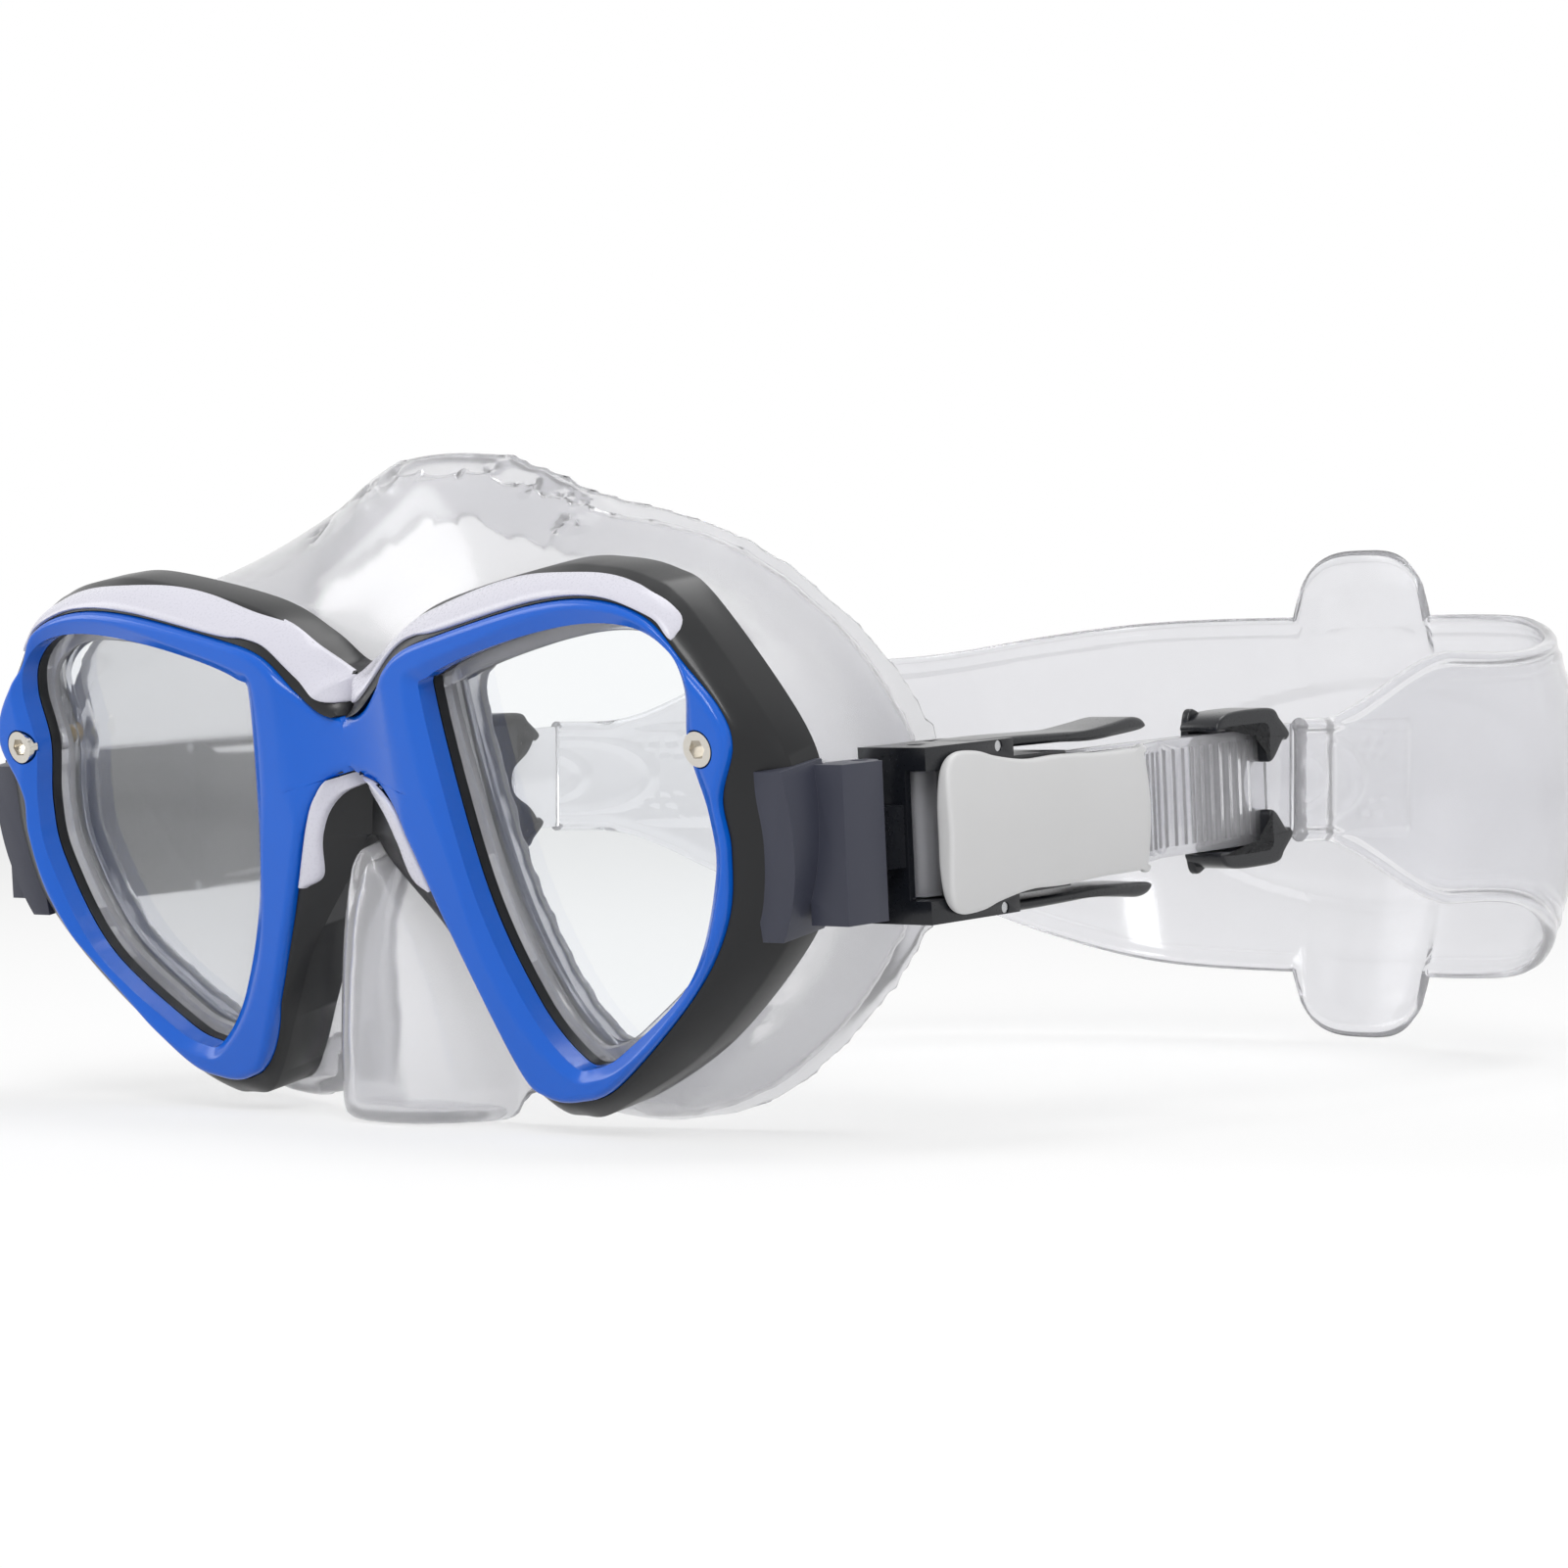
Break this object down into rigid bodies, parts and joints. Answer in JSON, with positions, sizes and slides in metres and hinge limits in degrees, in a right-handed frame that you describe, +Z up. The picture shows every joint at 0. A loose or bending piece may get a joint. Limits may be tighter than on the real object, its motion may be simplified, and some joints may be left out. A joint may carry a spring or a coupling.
{
  "type": "diving mask",
  "caption": "Twin lens diving mask with a clear silicone skirt and nose pocket, side buckles on hinges with squeeze levers, and a split head strap with a rear pad.",
  "frame": {"origin": "on the flat base under the nose pocket, where the mask stands, in the middle plane", "axes": "+Z up, +Y from the lenses back toward the head strap, +X to the wearer's left"},
  "size_m": [0.1944, 0.2788, 0.1052],
  "materials": {
    "bezel_blue": "glossy bright blue moulding",
    "trim_lavender": "glossy lavender white moulding",
    "frame_black": "satin black moulding",
    "hinge_grey": "satin blue grey moulding",
    "buckle_black": "satin blue black acetal",
    "cover_white": "smooth pale grey moulding",
    "roller_grey": "acetal",
    "lens_glass": "clear tempered glass",
    "skirt_silicone": "clear silicone",
    "strap_silicone": "clear silicone",
    "screw_steel": "polished stainless steel",
    "pin_steel": "drawn stainless steel",
    "nut_brass": "turned brass"
  },
  "bodies": {
    "mask": {"front_bezel": "bezel_blue", "brow_trim": "trim_lavender", "nose_trim": "trim_lavender", "main_frame": "frame_black", "lens_left": "lens_glass", "lens_right": "lens_glass", "skirt": "skirt_silicone", "bezel_screw_left": "screw_steel", "screw_nut_left": "nut_brass", "strap_bracket_left": "hinge_grey", "hinge_pin_left": "pin_steel", "strap_side_left": "strap_silicone", "bezel_screw_right": "screw_steel", "screw_nut_right": "nut_brass", "strap_bracket_right": "hinge_grey", "hinge_pin_right": "pin_steel", "strap_side_right": "strap_silicone", "strap_rear_pad": "strap_silicone"},
    "buckle_left": {"buckle_body_left": "buckle_black", "buckle_cover_left": "cover_white", "strap_end_left": "strap_silicone", "lever_pin_upper_left": "pin_steel", "lever_pin_lower_left": "pin_steel"},
    "lever_upper_left": {"lever_upper_left": "buckle_black"},
    "lever_lower_left": {"lever_lower_left": "buckle_black"},
    "pawl_left": {"lock_pawl_left": "buckle_black"},
    "roller_left": {"strap_roller_left": "roller_grey"},
    "keeper_left": {"strap_keeper_left": "buckle_black"},
    "buckle_right": {"buckle_body_right": "buckle_black", "buckle_cover_right": "cover_white", "strap_end_right": "strap_silicone", "lever_pin_upper_right": "pin_steel", "lever_pin_lower_right": "pin_steel"},
    "lever_upper_right": {"lever_upper_right": "buckle_black"},
    "lever_lower_right": {"lever_lower_right": "buckle_black"},
    "pawl_right": {"lock_pawl_right": "buckle_black"},
    "roller_right": {"strap_roller_right": "roller_grey"},
    "keeper_right": {"strap_keeper_right": "buckle_black"}
  },
  "joints": [
    {"name": "buckle_swing_left", "type": "hinge", "parent": "mask", "child": "buckle_left", "pos_m": [0.088, 0.003, 0.0447], "axis": [-0.0018, 0.0697, -0.9976], "range_deg": [-5, 10], "deforming": ["strap_side_left"]},
    {"name": "lever_squeeze_upper_left", "type": "hinge", "parent": "buckle_left", "child": "lever_upper_left", "pos_m": [0.08739, 0.02611, 0.0582], "axis": [-0.9997, -0.0262, 0], "range_deg": [0, 3], "stiffness_Nm_per_rad": 0.2, "springref_deg": -2.86},
    {"name": "lever_squeeze_lower_left", "type": "hinge", "parent": "buckle_left", "child": "lever_lower_left", "pos_m": [0.08735, 0.02776, 0.03455], "axis": [0.9997, 0.0262, 0], "range_deg": [0, 3]},
    {"name": "pawl_lift_left", "type": "hinge", "parent": "buckle_left", "child": "pawl_left", "pos_m": [0.09231, 0.03904, 0.04721], "axis": [0.0018, -0.0697, 0.9976], "range_deg": [0, 6]},
    {"name": "roller_spin_left", "type": "hinge", "parent": "buckle_left", "child": "roller_left", "pos_m": [0.08766, 0.01596, 0.04561], "axis": [0.0018, -0.0697, 0.9976], "continuous": true},
    {"name": "keeper_slide_left", "type": "slide", "parent": "buckle_left", "child": "keeper_left", "axis": [-0.0261, 0.9972, 0.0698], "range_m": [-0.011, 0.003]},
    {"name": "buckle_swing_right", "type": "hinge", "parent": "mask", "child": "buckle_right", "pos_m": [-0.088, 0.003, 0.0447], "axis": [-0.0018, -0.0697, 0.9976], "range_deg": [-5, 10], "deforming": ["strap_side_right"]},
    {"name": "lever_squeeze_upper_right", "type": "hinge", "parent": "buckle_right", "child": "lever_upper_right", "pos_m": [-0.08739, 0.02611, 0.0582], "axis": [-0.9997, 0.0262, 0], "range_deg": [0, 3], "stiffness_Nm_per_rad": 0.2, "springref_deg": -2.86},
    {"name": "lever_squeeze_lower_right", "type": "hinge", "parent": "buckle_right", "child": "lever_lower_right", "pos_m": [-0.08735, 0.02776, 0.03455], "axis": [0.9997, -0.0262, 0], "range_deg": [0, 3]},
    {"name": "pawl_lift_right", "type": "hinge", "parent": "buckle_right", "child": "pawl_right", "pos_m": [-0.09231, 0.03904, 0.04721], "axis": [0.0018, 0.0697, -0.9976], "range_deg": [0, 6]},
    {"name": "roller_spin_right", "type": "hinge", "parent": "buckle_right", "child": "roller_right", "pos_m": [-0.08766, 0.01596, 0.04561], "axis": [-0.0018, -0.0697, 0.9976], "continuous": true},
    {"name": "keeper_slide_right", "type": "slide", "parent": "buckle_right", "child": "keeper_right", "axis": [0.0261, 0.9972, 0.0698], "range_m": [-0.011, 0.003]}
  ],
  "couplings": [
    {"joint": "lever_squeeze_lower_left", "follows": "lever_squeeze_upper_left", "ratio": 1},
    {"joint": "pawl_lift_left", "follows": "lever_squeeze_upper_left", "ratio": 2},
    {"joint": "lever_squeeze_lower_right", "follows": "lever_squeeze_upper_right", "ratio": 1},
    {"joint": "pawl_lift_right", "follows": "lever_squeeze_upper_right", "ratio": 2}
  ]
}
